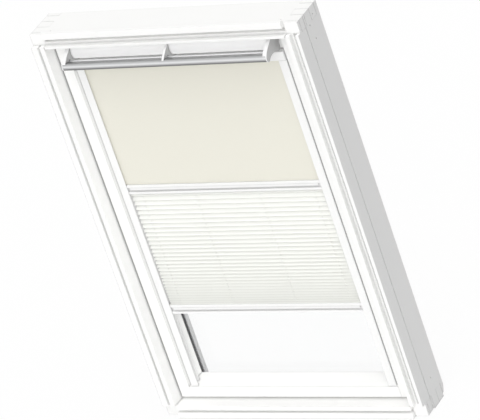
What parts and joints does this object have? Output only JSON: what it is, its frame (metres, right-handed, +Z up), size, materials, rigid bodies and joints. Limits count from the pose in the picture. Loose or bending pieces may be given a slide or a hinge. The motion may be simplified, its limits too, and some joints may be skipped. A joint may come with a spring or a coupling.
{
  "type": "centre-pivot roof window with duo blind",
  "caption": "White timber centre-pivot roof window with an interior duo blind: blackout cloth above, pleated cloth below.",
  "frame": {"origin": "centre of the window's outline on the plane it stands on, at the foot of the frame", "axes": "+X to the right as seen from the room, +Y out to the weather side, +Z up along the frame's height"},
  "size_m": [0.78, 0.149, 1.178],
  "materials": {
    "white_frame": "smooth white paint on timber",
    "white_sash": "smooth white paint on timber",
    "white_profile": "satin white powder coat",
    "white_plastic": "fine matt moulding",
    "silver_bar": "satin anodised",
    "steel": "zinc plated",
    "spacer": "mill finish",
    "black_rubber": "matt",
    "grey_cladding": "matt dark grey",
    "pane": "clear",
    "filter_foam": "open foam",
    "blackout_cloth": "plain woven beige",
    "pleated_cloth": "pleated off-white",
    "cord": "braided"
  },
  "bodies": {
    "frame": {"frame_jamb_left": "white_frame", "frame_jamb_right": "white_frame", "frame_head": "white_frame", "frame_sill": "white_frame", "seal_left": "black_rubber", "seal_right": "black_rubber", "seal_head": "black_rubber", "seal_sill": "black_rubber", "pivot_plate_left": "steel", "pivot_plate_right": "steel", "lock_keeper": "steel"},
    "sash": {"sash_stile_left": "white_sash", "sash_stile_right": "white_sash", "sash_bottom_rail": "white_sash", "sash_top_rail": "white_sash", "pivot_bush_left": "steel", "pivot_bush_right": "steel", "vent_filter": "filter_foam", "lock_case": "steel", "inner_pane": "pane", "outer_pane": "pane", "glass_spacer_left": "spacer", "glass_spacer_right": "spacer", "glass_spacer_bottom": "spacer", "glass_spacer_top": "spacer", "glazing_gasket_left": "black_rubber", "glazing_gasket_right": "black_rubber", "glazing_gasket_bottom": "black_rubber", "glazing_gasket_top": "black_rubber", "cladding_left": "grey_cladding", "cladding_right": "grey_cladding", "cladding_bottom": "grey_cladding", "cladding_top": "grey_cladding", "bar_hinge_rod": "steel", "blind_head_box": "white_profile", "head_box_cap_left": "white_plastic", "head_box_cap_right": "white_plastic", "side_rail_left": "white_profile", "side_rail_right": "white_profile", "roller_axle": "steel", "roller_spring": "steel", "blackout_cloth": "blackout_cloth", "pleated_cloth_upper": "pleated_cloth", "pleated_cloth_lower": "pleated_cloth", "pleat_cord_upper": "cord", "pleat_cord_lower": "cord"},
    "control": {"control_bar": "silver_bar", "bracket_left": "white_plastic", "bracket_middle": "white_plastic", "bracket_right": "white_plastic", "vent_flap": "white_plastic"},
    "latch": {"lock_tongue": "steel"},
    "middle_blind_bar": {"middle_bar": "white_profile", "middle_glider_left": "white_plastic", "middle_glider_right": "white_plastic"},
    "bottom_blind_bar": {"bottom_bar": "white_profile", "bottom_glider_left": "white_plastic", "bottom_glider_right": "white_plastic"},
    "roller": {"roller_tube": "silver_bar", "wound_cloth": "blackout_cloth"}
  },
  "joints": [
    {"name": "sash_pivot", "type": "hinge", "parent": "frame", "child": "sash", "pos_m": [0, 0.0235, 0.586], "axis": [1, 0, 0], "range_deg": [0, 160]},
    {"name": "control_bar_hinge", "type": "hinge", "parent": "sash", "child": "control", "pos_m": [0, 0.001, 1.112], "axis": [1, 0, 0], "range_deg": [0, 20]},
    {"name": "latch_slide", "type": "slide", "parent": "sash", "child": "latch", "axis": [0, 0, 1], "range_m": [-0.0026, 0]},
    {"name": "middle_bar_slide", "type": "slide", "parent": "sash", "child": "middle_blind_bar", "axis": [0, 0, 1], "range_m": [-0.13, 0.34], "deforming": ["blackout_cloth", "pleated_cloth_upper", "pleat_cord_upper"]},
    {"name": "bottom_bar_slide", "type": "slide", "parent": "sash", "child": "bottom_blind_bar", "axis": [0, 0, 1], "range_m": [-0.19, 0.08], "deforming": ["pleated_cloth_lower", "pleat_cord_lower"]},
    {"name": "roller_spin", "type": "hinge", "parent": "sash", "child": "roller", "pos_m": [0, 0.0056, 1.0612], "axis": [1, 0, 0], "range_deg": [-2440, 940]}
  ],
  "couplings": [
    {"joint": "latch_slide", "follows": "control_bar_hinge", "m_per_rad": -0.0072},
    {"joint": "roller_spin", "follows": "middle_bar_slide", "rad_per_m": -125}
  ]
}
